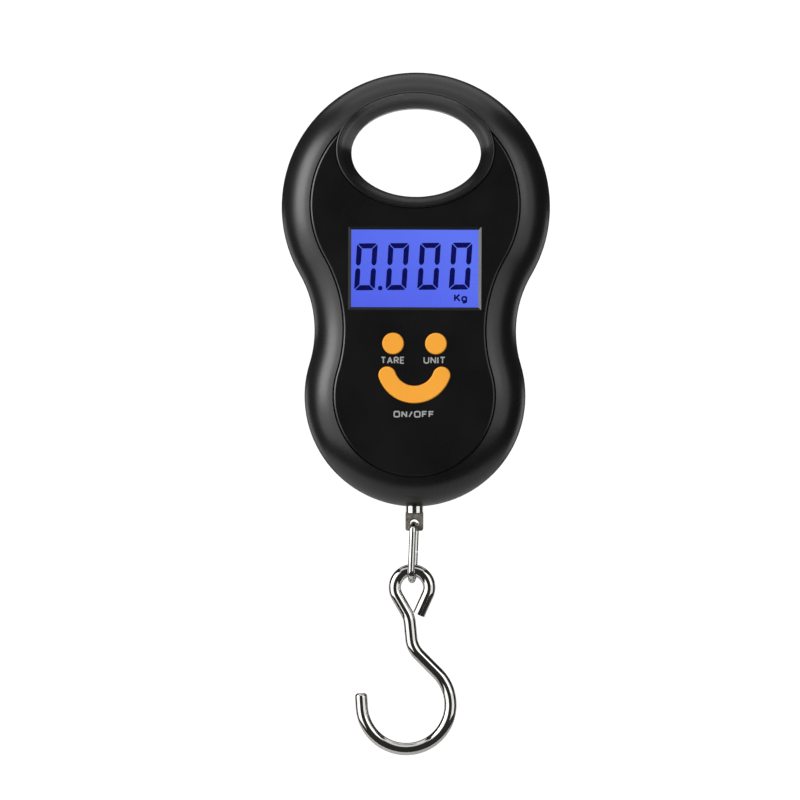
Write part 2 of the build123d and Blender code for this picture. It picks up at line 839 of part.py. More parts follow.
with BuildPart() as battery_door:
    with BuildSketch(face_plane(rear_depth)):
        with Locations((0, door_centre_z)):
            Rectangle(2 * door_half_width, door_height)
    extrude(amount=door_thickness)
    # the bottom edge is round, so that it turns in its place
    bottom_edges = battery_door.edges().filter_by(Axis.X).group_by(Axis.Z)[0]
    fillet(bottom_edges, radius=door_thickness / 2 - screw_clearance)
    # two tabs that hook under the back wall
    with BuildSketch(face_plane(door_inner_y + overcut / 2)):
        with Locations((-door_tab_x, tab_root_z), (door_tab_x, tab_root_z)):
            Rectangle(door_tab_width, door_tab_root)
    extrude(amount=overcut / 2 + door_gap + door_tab_thickness)
    with BuildSketch(face_plane(door_inner_y - door_gap)):
        with Locations((-door_tab_x, tab_centre_z), (door_tab_x, tab_centre_z)):
            Rectangle(door_tab_width, door_tab_root + door_tab_reach)
    extrude(amount=door_tab_thickness)
    # springy latch tongue at the top, freed by a slot down each side, with finger grooves
    with BuildSketch(face_plane(rear_depth)):
        with Locations((-latch_width / 2, latch_centre_z), (latch_width / 2, latch_centre_z)):
            Rectangle(latch_slot, latch_height)
    extrude(amount=door_thickness, mode=Mode.SUBTRACT)
    with BuildSketch(face_plane(rear_depth)):
        with Locations((0, latch_centre_z)):
            with GridLocations(0, grip_groove_spacing, 1, grip_groove_count):
                Rectangle(latch_width - 2 * latch_slot, grip_groove_width)
    extrude(amount=grip_groove_depth, mode=Mode.SUBTRACT)

save(battery_door, "battery_door")

# ---------------------------------------------------------------- case screws

with BuildPart() as case_screws:
    with BuildSketch(face_plane(case_screw_seat_y + case_screw_head_height)):
        with Locations(*case_screw_spots):
            Circle(case_screw_head_radius)
    extrude(amount=case_screw_head_height)
    head_tops = case_screws.faces().filter_by(Plane.XZ).group_by(Axis.Y)[-1]
    fillet(head_tops.edges(), radius=case_screw_rounding)
    with BuildSketch(face_plane(case_screw_seat_y)):
        with Locations(*case_screw_spots):
            Circle(case_screw_radius)
    extrude(amount=case_screw_length)
    # cross recesses
    with BuildSketch(face_plane(case_screw_seat_y + case_screw_head_height)):
        with Locations(*case_screw_spots):
            Rectangle(cross_length, cross_width)
            Rectangle(cross_width, cross_length)
    extrude(amount=cross_depth, mode=Mode.SUBTRACT)

save(case_screws, "case_screws")

# ---------------------------------------------------------------- load cell

beam_centre_x = (beam_left_x + beam_right_x) / 2
beam_front_y = -beam_size / 2
beam_screw_spots = [(screw_x, beam_centre_z) for screw_x in beam_screw_x]

with BuildPart() as load_cell:
    with BuildSketch(face_plane(beam_size / 2)):
        with Locations((beam_centre_x, beam_centre_z)):
            Rectangle(beam_right_x - beam_left_x, beam_size)
        # the two joined holes leave a thin web above and below, where the beam bends
        with Locations(*[(hole_x, beam_centre_z) for hole_x in flexure_hole_x]):
            Circle(flexure_hole_radius, mode=Mode.SUBTRACT)
        with Locations(*beam_screw_spots):
            Circle(beam_screw_radius + 2 * screw_clearance, mode=Mode.SUBTRACT)
    extrude(amount=beam_size)
    with BuildSketch(Plane.XY.offset(beam_top_z)):
        Circle(rod_radius + rod_clearance)
    extrude(amount=-beam_size, mode=Mode.SUBTRACT)

save(load_cell, "load_cell")

with BuildPart() as load_cell_screws:
    with BuildSketch(face_plane(beam_front_y)):
        with Locations(*beam_screw_spots):
            Circle(beam_screw_head_radius)
    extrude(amount=beam_screw_head_height)
    with BuildSketch(face_plane(beam_front_y - beam_screw_head_height)):
        with Locations(*beam_screw_spots):
            RegularPolygon(beam_screw_socket, 6)
    extrude(amount=-beam_screw_head_height / 2, mode=Mode.SUBTRACT)
    with BuildSketch(face_plane(beam_front_y)):
        with Locations(*beam_screw_spots):
            Circle(beam_screw_radius)
    extrude(amount=-beam_screw_length)

save(load_cell_screws, "load_cell_screws")

# the gauges are glued above and below the webs
gauge_sides = ((beam_top_z, 1), (beam_top_z - beam_size, -1))

with BuildPart() as strain_gauges:
    for surface_z, outwards in gauge_sides:
        with BuildSketch(Plane.XY.offset(surface_z)):
            with Locations((gauge_x, 0)):
                Rectangle(gauge_length, gauge_width)
        extrude(amount=outwards * gauge_thickness)

save(strain_gauges, "strain_gauges")

with BuildPart() as gauge_coating:
    for surface_z, outwards in gauge_sides:
        with BuildSketch(Plane.XY.offset(surface_z)):
            with Locations((gauge_x, 0)):
                RectangleRounded(coating_length, coating_width, radius=overcut)
        extrude(amount=outwards * coating_thickness)
    add(strain_gauges.part, mode=Mode.SUBTRACT)

save(gauge_coating, "gauge_coating")

# ---------------------------------------------------------------- leads inside the case

lead_top_z = beam_top_z + coating_thickness + wire_radius / 4
board_lead_y = board_back_y + wire_radius + screw_clearance

with BuildPart() as load_cell_leads:
    for lead in range(load_cell_lead_count):
        lead_x = gauge_x + (lead - (load_cell_lead_count - 1) / 2) * load_cell_lead_spacing
        add(
            wire_along(
                [
                    (lead_x, -beam_size / 8, lead_top_z),
                    (lead_x, -beam_size / 8, lead_top_z + load_cell_lead_rise),
                    (lead_x, board_lead_y, lead_top_z + 2 * load_cell_lead_rise),
                    (lead_x, board_lead_y, board_bottom_z + board_lead_overlap),
                ]
            )
        )

save(load_cell_leads, "load_cell_leads")

tab_end_z = bay_top_z + bay_wall + 4 * contact_thickness
battery_lead_y = tab_y - contact_thickness / 2 - wire_radius - screw_clearance

with BuildPart() as battery_leads:
    for side in (-1, 1):
        tab_x = side * cell_spacing / 2
        pad_x = side * battery_pad_x
        add(
            wire_along(
                [
                    (tab_x, battery_lead_y, tab_end_z - solder_overlap),
                    (tab_x, battery_lead_y, tab_end_z + battery_lead_rise),
                    (pad_x, board_lead_y, tab_end_z + battery_lead_drop),
                    (pad_x, board_lead_y, tab_end_z - battery_lead_drop),
                ]
            )
        )

save(battery_leads, "battery_leads")

# ---------------------------------------------------------------- hanger

with BuildPart() as hanger_rod:
    with BuildSketch(Plane.XY.offset(shank_top_z)):
        Circle(rod_radius)
    extrude(amount=rod_top_z - shank_top_z)
    with BuildSketch(Plane.XY.offset(block_top_z)):
        Circle(shank_radius)
    extrude(amount=shank_top_z - block_top_z)
    with BuildSketch(Plane.XY.offset(block_bottom_z)):
        Rectangle(block_width, block_thickness)
    extrude(amount=block_top_z - block_bottom_z)
    lower_corners = hanger_rod.edges().filter_by(Axis.Y).group_by(Axis.Z)[0]
    fillet(lower_corners, radius=block_corner)
    # cross hole for the link, countersunk at both ends
    with BuildSketch(face_plane(block_thickness / 2)):
        with Locations((0, block_hole_z)):
            Circle(block_hole_radius)
    extrude(amount=block_thickness, mode=Mode.SUBTRACT)
    hole_rims = hanger_rod.edges().filter_by(GeomType.CIRCLE).filter_by(
        lambda edge: abs(edge.radius - block_hole_radius) < screw_clearance
    )
    chamfer(hole_rims, length=block_countersink_radius - block_hole_radius)

save(hanger_rod, "hanger_rod")

washer_z = beam_top_z + washer_lift

with BuildPart() as hanger_washer:
    with BuildSketch(Plane.XY.offset(washer_z)):
        Circle(washer_radius)
        Circle(rod_radius + rod_clearance, mode=Mode.SUBTRACT)
    extrude(amount=washer_thickness)

save(hanger_washer, "hanger_washer")

with BuildPart() as hanger_nut:
    with BuildSketch(Plane.XY.offset(washer_z + washer_thickness)):
        RegularPolygon(nut_across_flats / 2, 6, major_radius=False)
        Circle(rod_radius + rod_clearance, mode=Mode.SUBTRACT)
    extrude(amount=nut_height)

save(hanger_nut, "hanger_nut")

# ---------------------------------------------------------------- link

# the link leans from the block's hole to the hook's eye, which hangs a little to the left
link_drop = link_top_z - hook_eye_top_z + hook_wire_radius + hook_seat_gap + link_wire_radius
link_length = hypot(link_drop, hook_eye_x)
lean_sine = -hook_eye_x / link_length
lean_cosine = link_drop / link_length
yaw_sine = sin(radians(link_yaw))
yaw_cosine = cos(radians(link_yaw))
link_plane = Plane(
    origin=(0, 0, link_top_z),
    x_dir=(yaw_sine, yaw_cosine, 0),
    z_dir=(yaw_cosine * lean_cosine, -yaw_sine * lean_cosine, -lean_sine),
)

with BuildPart() as ring_link:
    with BuildLine(link_plane) as link_line:
        FilletPolyline(
            (link_half_depth, -link_joint_drop + link_joint_gap / 2),
            (link_half_depth, 0),
            (-link_half_depth, 0),
            (-link_half_depth, -link_length),
            (link_half_depth, -link_length),
            (link_half_depth, -link_joint_drop - link_joint_gap / 2),
            radius=(link_top_radius, link_top_radius, link_bottom_radius, link_bottom_radius),
        )
    with BuildSketch(Plane(link_line.line @ 0, z_dir=link_line.line % 0)):
        Circle(link_wire_radius)
    sweep(path=link_line.line)

save(ring_link, "ring_link")

# ---------------------------------------------------------------- hook

with BuildPart() as hook:
    # the eye is drawn both ways from its top; the long side runs down into the bowl
    with BuildLine(Plane.XZ) as hook_line:
        free_side = JernArc((hook_eye_x, hook_eye_top_z), (1, 0), hook_eye_radius, -free_end_turn)
        free_end = PolarLine(free_side @ 1, free_end_length, direction=free_side % 1)
        eye_side = JernArc((hook_eye_x, hook_eye_top_z), (-1, 0), hook_eye_radius, eye_turn)
        neck_side = PolarLine(eye_side @ 1, neck_side_length, direction=eye_side % 1)
        neck = JernArc(neck_side @ 1, neck_side % 1, neck_radius, -neck_turn)
        shank = PolarLine(neck @ 1, shank_length, direction=neck % 1)
        hip = JernArc(shank @ 1, shank % 1, hip_radius, hip_turn)
        diagonal = PolarLine(hip @ 1, diagonal_length, direction=hip % 1)
        bowl = JernArc(diagonal @ 1, diagonal % 1, bowl_radius, -bowl_turn)
        tip = PolarLine(bowl @ 1, tip_length, direction=bowl % 1)
    with BuildSketch(Plane(tip @ 1, z_dir=tip % 1)):
        Circle(hook_wire_radius)
    sweep(path=hook_line.line)
    fillet(hook.faces().filter_by(GeomType.PLANE).sort_by(Axis.X)[0].edges(), radius=tip_rounding)

save(hook, "hook")
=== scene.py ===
"""A digital fish scale: finishes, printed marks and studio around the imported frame.

Lengths are in metres, in the frame's own axes: +X to the right, +Y to the back, +Z up.
"""

import math

import bmesh
import bpy
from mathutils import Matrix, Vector


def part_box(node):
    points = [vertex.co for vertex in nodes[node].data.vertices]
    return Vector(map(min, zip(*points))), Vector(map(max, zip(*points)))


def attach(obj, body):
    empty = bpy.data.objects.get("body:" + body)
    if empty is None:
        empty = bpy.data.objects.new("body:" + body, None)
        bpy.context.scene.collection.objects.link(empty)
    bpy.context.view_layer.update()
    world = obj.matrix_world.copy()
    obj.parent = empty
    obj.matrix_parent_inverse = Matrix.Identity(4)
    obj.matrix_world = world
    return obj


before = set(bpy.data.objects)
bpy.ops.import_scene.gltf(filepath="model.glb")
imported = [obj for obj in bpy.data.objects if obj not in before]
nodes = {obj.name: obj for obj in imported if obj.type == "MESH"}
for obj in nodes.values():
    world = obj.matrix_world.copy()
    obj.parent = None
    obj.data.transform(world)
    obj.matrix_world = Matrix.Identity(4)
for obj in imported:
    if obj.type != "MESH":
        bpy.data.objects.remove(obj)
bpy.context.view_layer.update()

MM = 0.001

# ---------------------------------------------------------------- camera and studio

AIM = Vector((-4.3 * MM, 0.0, -83.7 * MM))
CAMERA_DISTANCE = 0.900
CAMERA_AZIMUTH = math.radians(1.3)
CAMERA_ROLL = math.radians(-0.25)
CAMERA_LENS_MM = 141.0
CAMERA_SENSOR_MM = 36.0
CAMERA_NEAR = 0.01
CAMERA_FAR = 20.0

EXPOSURE = 0.12
WHITE = (1.0, 1.0, 1.0)
BACKDROP_LEVEL = 1.0
DIM_LEVEL = 0.03

# Each lamp: its name, azimuth and elevation in degrees, distance, width and height, and power in watts.
LAMPS = (
    ("left_panel_light", -58, 3, 1.3, (1.5, 1.5), 10.8),
    ("right_panel_light", 51, 7, 1.3, (1.12, 1.3), 4.9),
    ("left_key_light", -64, 17, 1.1, (0.55, 0.8), 6.2),
    ("right_key_light", 44, 19, 1.1, (0.30, 0.7), 0.9),
    ("overhead_light", 180, 72, 1.0, (1.4, 1.0), 3.2),
    ("front_top_light", 0, 66, 1.0, (1.4, 0.9), 3.2),
    ("back_light", 180, -4, 1.3, (0.5, 0.5), 1.0),
    ("back_left_light", -140, -10, 1.3, (0.5, 0.6), 0.6),
    ("back_right_light", 140, -10, 1.3, (0.5, 0.6), 0.6),
)

FLOOR_HEIGHT = -0.5
FLOOR_DEPTH = 0.5
FLOOR_RADIUS = 0.7
FLOOR_SIDES = 96


def make_camera():
    """A long lens, level with the middle of the scale and looking almost straight at its face."""
    data = bpy.data.cameras.new("camera")
    data.lens = CAMERA_LENS_MM
    data.sensor_width = CAMERA_SENSOR_MM
    data.clip_start = CAMERA_NEAR
    data.clip_end = CAMERA_FAR
    camera = bpy.data.objects.new("camera", data)
    bpy.context.scene.collection.objects.link(camera)
    away = Vector((math.sin(CAMERA_AZIMUTH), -math.cos(CAMERA_AZIMUTH), 0.0))
    camera.location = AIM + away * CAMERA_DISTANCE
    camera.rotation_euler = (math.radians(90.0), CAMERA_ROLL, CAMERA_AZIMUTH)
    bpy.context.scene.camera = camera


def softbox(name, azimuth, elevation, distance, size, power):
    """A rectangular lamp aimed at the scale. Azimuth 0 is in front of its face, and 90 on its right."""
    data = bpy.data.lights.new(name, "AREA")
    data.shape = "RECTANGLE"
    data.size, data.size_y = size
    data.energy = power
    lamp = bpy.data.objects.new(name, data)
    bpy.context.scene.collection.objects.link(lamp)
    turn, rise = math.radians(azimuth), math.radians(elevation)
    away = Vector((math.sin(turn) * math.cos(rise), -math.cos(turn) * math.cos(rise), math.sin(rise)))
    lamp.location = AIM + away * distance
    lamp.rotation_mode = "QUATERNION"
    lamp.rotation_quaternion = away.to_track_quat("Z", "Y")
    lamp.visible_camera = False


def make_world():
    """White where the camera looks past the scale, and dim all round it so that black stays black."""
    world = bpy.data.worlds.new("studio")
    bpy.context.scene.world = world
    world.use_nodes = True
    tree = world.node_tree
    tree.nodes.clear()
    path = tree.nodes.new("ShaderNodeLightPath")
    either = tree.nodes.new("ShaderNodeMixShader")
    out = tree.nodes.new("ShaderNodeOutputWorld")
    tree.links.new(path.outputs["Is Camera Ray"], either.inputs[0])
    for order, strength in enumerate((DIM_LEVEL, BACKDROP_LEVEL), start=1):
        background = tree.nodes.new("ShaderNodeBackground")
        background.inputs["Color"].default_value = (*WHITE, 1.0)
        background.inputs["Strength"].default_value = strength
        tree.links.new(background.outputs[0], either.inputs[order])
    tree.links.new(either.outputs[0], out.inputs[0])


# ---------------------------------------------------------------- material building blocks


def new_material(name):
    """A node material: its node tree, its Principled shader and the object's own coordinates."""
    material = bpy.data.materials.new(name)
    material.use_nodes = True
    tree = material.node_tree
    shader = tree.nodes["Principled BSDF"]
    where = tree.nodes.new("ShaderNodeTexCoord").outputs["Object"]
    return material, tree, shader, where


def feed(tree, value, socket):
    """Sets a socket from a node's output, a number or a colour."""
    if isinstance(value, bpy.types.NodeSocket):
        tree.links.new(value, socket)
    elif isinstance(value, tuple) and len(socket.default_value) == 4:
        socket.default_value = (*value, 1.0)
    else:
        socket.default_value = value


def noise(tree, where, size, detail=3.0):
    """Cloudy noise from 0 to 1 whose blobs are about this size."""
    node = tree.nodes.new("ShaderNodeTexNoise")
    node.inputs["Scale"].default_value = 1.0 / size
    node.inputs["Detail"].default_value = detail
    tree.links.new(where, node.inputs["Vector"])
    return node.outputs["Fac"]


def stretched(tree, where, factors):
    """Coordinates scaled along each axis, so that a texture draws out into streaks."""
    node = tree.nodes.new("ShaderNodeMapping")
    node.inputs["Scale"].default_value = factors
    tree.links.new(where, node.inputs["Vector"])
    return node.outputs["Vector"]


def part_of(tree, where, axis):
    """One coordinate, named X, Y or Z."""
    node = tree.nodes.new("ShaderNodeSeparateXYZ")
    tree.links.new(where, node.inputs[0])
    return node.outputs[axis]


def remap(tree, value, low, high, to_low=0.0, to_high=1.0):
    """Stretches a value from low..high to to_low..to_high and holds it at both ends."""
    node = tree.nodes.new("ShaderNodeMapRange")
    for name, number in (("From Min", low), ("From Max", high), ("To Min", to_low), ("To Max", to_high)):
        node.inputs[name].default_value = number
    tree.links.new(value, node.inputs["Value"])
    return node.outputs["Result"]


def spread(tree, value, to_low, to_high):
    """Stretches noise, which mostly lies between 0.3 and 0.7, to to_low..to_high."""
    return remap(tree, value, 0.3, 0.7, to_low, to_high)


def patchy(tree, value):
    """Noise sharpened into patches: 0 over its lower part and 1 over its upper part."""
    return remap(tree, value, 0.35, 0.65)


def maths(tree, operation, first, second=0.0):
    """One step of arithmetic."""
    node = tree.nodes.new("ShaderNodeMath")
    node.operation = operation
    feed(tree, first, node.inputs[0])
    feed(tree, second, node.inputs[1])
    return node.outputs[0]


def distance_from(tree, value, centre):
    """How far a value lies from a centre, on either side."""
    return maths(tree, "ABSOLUTE", maths(tree, "SUBTRACT", value, centre))


def blend(tree, factor, first, second):
    """Mixes two colours by factor."""
    node = tree.nodes.new("ShaderNodeMix")
    node.data_type = "RGBA"
    colour_sockets = [socket for socket in node.inputs if socket.type == "RGBA"]
    tree.links.new(factor, node.inputs["Factor"])
    feed(tree, first, colour_sockets[0])
    feed(tree, second, colour_sockets[1])
    return [socket for socket in node.outputs if socket.type == "RGBA"][0]


def bump(tree, height, depth, under=None):
    """A relief of this depth, laid over another one if there is one."""
    node = tree.nodes.new("ShaderNodeBump")
    node.inputs["Distance"].default_value = depth
    tree.links.new(height, node.inputs["Height"])
    if under is not None:
        tree.links.new(under, node.inputs["Normal"])
    return node.outputs["Normal"]


def scaled(colour, factor):
    """A colour made lighter or darker."""
    return tuple(min(1.0, channel * factor) for channel in colour)


# ---------------------------------------------------------------- plastics

SHEEN_CLOUD_SIZE = 14 * MM
SHEEN_VARIATION = 0.03

RUBBED_EDGE_RADIUS = 0.3 * MM
RUBBED_PATCH_SIZE = 2.5 * MM
RUBBED_LIGHTENING = 2.5
RUBBED_POLISH = 0.15
FLAT_AGREEMENT = 0.98
EDGE_AGREEMENT = 0.80

PANEL_COLOUR = (0.0045, 0.0045, 0.005)
PANEL_ROUGHNESS = 0.30
PANEL_GRAIN = 0.16 * MM
PANEL_GRAIN_DEPTH = 0.002 * MM
PANEL_WEAR = 0.2
BEVEL_FACING_LOW = 0.45
BEVEL_FACING_HIGH = 0.5
BEVEL_MARGIN = 0.1 * MM
BEVEL_EXTRA_ROUGHNESS = 0.6

ACRYLIC_COLOUR = (0.97, 0.98, 1.0, 1.0)
ACRYLIC_IOR = 1.49
SMEAR_SIZE = 6 * MM
SMEAR_STRETCH = (0.4, 1.0, 1.0)
SMEAR_DEPTH = 0.0005 * MM


def edge_wear(tree, where, amount):
    """Near amount on outer edges that handling has rubbed, in patches."""
    rounded = tree.nodes.new("ShaderNodeBevel")
    rounded.samples = 4
    rounded.inputs["Radius"].default_value = RUBBED_EDGE_RADIUS
    flat = tree.nodes.new("ShaderNodeNewGeometry")
    agreement = tree.nodes.new("ShaderNodeVectorMath")
    agreement.operation = "DOT_PRODUCT"
    tree.links.new(rounded.outputs["Normal"], agreement.inputs[0])
    tree.links.new(flat.outputs["Normal"], agreement.inputs[1])
    edge = remap(tree, agreement.outputs["Value"], FLAT_AGREEMENT, EDGE_AGREEMENT, 0.0, amount)
    patches = remap(tree, noise(tree, where, RUBBED_PATCH_SIZE, detail=5.0), 0.42, 0.62)
    return maths(tree, "MULTIPLY", edge, patches)


def moulded(name, colour, roughness, grain=0.2 * MM, depth=0.004 * MM, wear=0.0, mottle=0.1, glow=0.0):
    """Moulded plastic: fine grain, a cloudy sheen, faint drift of colour and rubbed edges; glow adds a
    painted glow of extra light in the plastic's own colour, though the plastic is no lamp.
    """
    material, tree, shader, where = new_material(name)
    clouds = noise(tree, where, SHEEN_CLOUD_SIZE, detail=4.0)
    grains = noise(tree, where, grain, detail=2.0)
    base = blend(tree, patchy(tree, clouds), scaled(colour, 1.0 - mottle), scaled(colour, 1.0 + mottle))
    sheen = spread(tree, clouds, roughness - SHEEN_VARIATION, roughness + SHEEN_VARIATION)
    rough = maths(tree, "ADD", sheen, spread(tree, grains, -SHEEN_VARIATION, SHEEN_VARIATION))
    if wear > 0.0:
        rubbed = edge_wear(tree, where, wear)
        base = blend(tree, rubbed, base, scaled(colour, RUBBED_LIGHTENING))
        rough = maths(tree, "SUBTRACT", rough, remap(tree, rubbed, 0.0, 1.0, 0.0, RUBBED_POLISH))
    tree.links.new(base, shader.inputs["Base Color"])
    tree.links.new(rough, shader.inputs["Roughness"])
    tree.links.new(bump(tree, grains, depth), shader.inputs["Normal"])
    # Painted light: an emission of the plastic's own colour that brightens it as if more light fell on it.
    if glow > 0.0:
        tree.links.new(base, shader.inputs["Emission Color"])
        shader.inputs["Emission Strength"].default_value = glow
    return material


def face_plastic(name, window_centre, half_width, half_height):
    """The face panel's plastic, duller on the bevels above and below its window."""
    material = moulded(name, PANEL_COLOUR, PANEL_ROUGHNESS, PANEL_GRAIN, PANEL_GRAIN_DEPTH, wear=PANEL_WEAR)
    tree = material.node_tree
    shader = tree.nodes["Principled BSDF"]
    where = tree.nodes.new("ShaderNodeTexCoord").outputs["Object"]
    facing = part_of(tree, tree.nodes.new("ShaderNodeNewGeometry").outputs["Normal"], "Z")
    dull = remap(tree, maths(tree, "ABSOLUTE", facing), BEVEL_FACING_LOW, BEVEL_FACING_HIGH)
    for axis, centre, half in (("X", window_centre.x, half_width), ("Z", window_centre.z, half_height)):
        away = distance_from(tree, part_of(tree, where, axis), centre)
        near = remap(tree, away, half + BEVEL_MARGIN, half + 2 * BEVEL_MARGIN, 1.0, 0.0)
        dull = maths(tree, "MULTIPLY", dull, near)
    rough = shader.inputs["Roughness"].links[0].from_socket
    extra = maths(tree, "MULTIPLY", dull, BEVEL_EXTRA_ROUGHNESS)
    tree.links.new(maths(tree, "ADD", rough, extra), shader.inputs["Roughness"])
    return material


def clear_plastic(name):
    """A clear acrylic sheet with the faintest smears on it."""
    material, tree, shader, where = new_material(name)
    smears = noise(tree, stretched(tree, where, SMEAR_STRETCH), SMEAR_SIZE, detail=4.0)
    shader.inputs["Base Color"].default_value = ACRYLIC_COLOUR
    shader.inputs["Transmission Weight"].default_value = 1.0
    shader.inputs["IOR"].default_value = ACRYLIC_IOR
    tree.links.new(remap(tree, smears, 0.4, 0.8, 0.005, 0.03), shader.inputs["Roughness"])
    tree.links.new(bump(tree, smears, SMEAR_DEPTH), shader.inputs["Normal"])
    return material


# ---------------------------------------------------------------- metals

ALONG_X = (0.1, 1.0, 1.0)
ALONG_Z = (1.0, 1.0, 0.1)
METAL_CLOUD_SIZE = 4 * MM
RIPPLE_SIZE = 1.3 * MM
RIPPLE_DEPTH = 0.001 * MM
SCRATCH_SIZE = 0.12 * MM
SCRATCH_DEPTH = 0.0004 * MM
SCRATCH_ROUGHNESS = 0.05

SHANK_COLOUR = (0.74, 0.73, 0.7)
BLOCK_DARK = (0.26, 0.235, 0.2)
BLOCK_LIGHT = (0.46, 0.43, 0.39)
BLOCK_TOP = -116.0 * MM
BLOCK_TOP_BLUR = 0.1 * MM
BLOCK_PIT_SIZE = 0.35 * MM
BLOCK_PIT_DEPTH = 0.10 * MM
BLOCK_PATCH_SIZE = 1.6 * MM


def polished(name, colour, roughness, along=ALONG_Z):
    """Plated or drawn metal: slight ripples, hair scratches along one axis and duller clouds."""
    material, tree, shader, where = new_material(name)
    clouds = noise(tree, where, METAL_CLOUD_SIZE, detail=4.0)
    hairs = noise(tree, stretched(tree, where, along), SCRATCH_SIZE, detail=2.0)
    scratches = remap(tree, hairs, 0.56, 0.72)
    base = blend(tree, spread(tree, clouds, 0.0, 1.0), scaled(colour, 0.93), scaled(colour, 1.03))
    dulled = spread(tree, clouds, roughness * 0.8, roughness * 1.3)
    rough = maths(tree, "ADD", dulled, remap(tree, scratches, 0.0, 1.0, 0.0, SCRATCH_ROUGHNESS))
    tree.links.new(base, shader.inputs["Base Color"])
    tree.links.new(rough, shader.inputs["Roughness"])
    shader.inputs["Metallic"].default_value = 1.0
    waves = bump(tree, noise(tree, where, RIPPLE_SIZE, detail=2.0), RIPPLE_DEPTH)
    tree.links.new(bump(tree, scratches, SCRATCH_DEPTH, under=waves), shader.inputs["Normal"])
    return material


def hanger_metal(name, block_top):
    """A polished shank above this height, and a rough blackened block below it."""
    material, tree, shader, where = new_material(name)
    height = part_of(tree, where, "Z")
    lower = remap(tree, height, block_top + BLOCK_TOP_BLUR, block_top - BLOCK_TOP_BLUR)
    pits = noise(tree, where, BLOCK_PIT_SIZE, detail=5.0)
    patches = noise(tree, where, BLOCK_PATCH_SIZE, detail=4.0)
    scale_colour = blend(tree, patchy(tree, patches), BLOCK_DARK, BLOCK_LIGHT)
    tree.links.new(blend(tree, lower, SHANK_COLOUR, scale_colour), shader.inputs["Base Color"])
    shank_rough = spread(tree, patches, 0.10, 0.16)
    extra = maths(tree, "MULTIPLY", lower, spread(tree, pits, 0.28, 0.42))
    tree.links.new(maths(tree, "ADD", shank_rough, extra), shader.inputs["Roughness"])
    shader.inputs["Metallic"].default_value = 1.0
    relief = maths(tree, "MULTIPLY", lower, pits)
    tree.links.new(bump(tree, relief, BLOCK_PIT_DEPTH), shader.inputs["Normal"])
    return material


# ---------------------------------------------------------------- display, inner parts and ink

DISPLAY_CENTRE = Vector((0.0, 0.0, -46.4 * MM))
LIT_HALF_WIDTH = 18.1 * MM
LIT_HALF_HEIGHT = 11.1 * MM
BEVEL_HALF_WIDTH = 19.0 * MM
BEVEL_HALF_HEIGHT = 12.0 * MM
GLOW_LOWER_LEFT = (0.080, 0.115, 0.77)
GLOW_UPPER_RIGHT = (0.112, 0.17, 0.85)
GLOW_STRENGTH = 1.03
GLOW_RISE = 0.6
GLOW_CLOUD_SIZE = 16 * MM
GLOW_CLOUD_LEVEL = 0.08
LIT_SKIN = 0.1 * MM
LIT_EDGE_BLUR = 0.4 * MM
UNLIT_GLASS = (0.005, 0.006, 0.02, 1.0)
GLASS_DUST_SIZE = 0.3 * MM
GLASS_DUST_DEPTH = 0.0005 * MM

SLEEVE_LOW = -85.0 * MM
SLEEVE_HIGH = -42.0 * MM
SLEEVE_BAND = 9.0 * MM
SLEEVE_BLUR = 0.1 * MM
SLEEVE_SCUFF_SIZE = 3 * MM
SLEEVE_SCUFF_AMOUNT = 0.12
SLEEVE_SCUFF_DEPTH = 0.01 * MM
SLEEVE_BLUE = (0.02, 0.07, 0.24)
SLEEVE_SILVER = (0.55, 0.57, 0.6)
SLEEVE_SCUFF = (0.6, 0.6, 0.62)
CELL_STEEL = (0.62, 0.61, 0.58)

MASK_GREEN = (0.012, 0.09, 0.035)
TRACK_GREEN = (0.03, 0.2, 0.07)
TRACK_PITCH = 2.4 * MM
TRACK_RELIEF = 0.03 * MM
MASK_CLOUD_SIZE = 3 * MM

STRIPE_RELIEF = 0.01 * MM
STRIPE_SPECK_SIZE = 0.3 * MM
STRIPE_SHEEN_VARIATION = 0.06

INK_SPECK_SIZE = 0.25 * MM
INK_RELIEF = 0.003 * MM
PAPER_FIBRE_SIZE = 2 * MM
PAPER_RELIEF = 0.05 * MM
PAPER_DARK = (0.78, 0.78, 0.77)
PAPER_LIGHT = (0.84, 0.84, 0.83)


def display_glass(name, centre, half_width, half_height, front):
    """Back-lit glass: blue, brighter towards the upper right, and dark outside the lit field."""
    material, tree, shader, where = new_material(name)
    x, y, z = (part_of(tree, where, axis) for axis in "XYZ")
    across = remap(tree, x, centre.x - half_width, centre.x + half_width, 0.0, GLOW_RISE)
    upwards = remap(tree, z, centre.z - half_height, centre.z + half_height, 0.0, GLOW_RISE)
    cloudy = noise(tree, where, GLOW_CLOUD_SIZE, detail=1.0)
    clouds = spread(tree, cloudy, -GLOW_CLOUD_LEVEL, GLOW_CLOUD_LEVEL)
    level = maths(tree, "ADD", maths(tree, "ADD", across, upwards), clouds)
    glow = blend(tree, level, GLOW_LOWER_LEFT, GLOW_UPPER_RIGHT)
    lit = remap(tree, y, front + 2 * LIT_SKIN, front + LIT_SKIN)
    for place, middle, half in ((x, centre.x, half_width), (z, centre.z, half_height)):
        away = distance_from(tree, place, middle)
        inside = remap(tree, away, half + LIT_SKIN, half + LIT_SKIN + LIT_EDGE_BLUR, 1.0, 0.0)
        lit = maths(tree, "MULTIPLY", lit, inside)
    tree.links.new(glow, shader.inputs["Emission Color"])
    tree.links.new(maths(tree, "MULTIPLY", lit, GLOW_STRENGTH), shader.inputs["Emission Strength"])
    shader.inputs["Base Color"].default_value = UNLIT_GLASS
    shader.inputs["Specular IOR Level"].default_value = 0.1
    rough = remap(tree, clouds, -GLOW_CLOUD_LEVEL, GLOW_CLOUD_LEVEL, 0.25, 0.35)
    tree.links.new(rough, shader.inputs["Roughness"])
    dust = noise(tree, where, GLASS_DUST_SIZE, detail=2.0)
    tree.links.new(bump(tree, dust, GLASS_DUST_DEPTH), shader.inputs["Normal"])
    return material


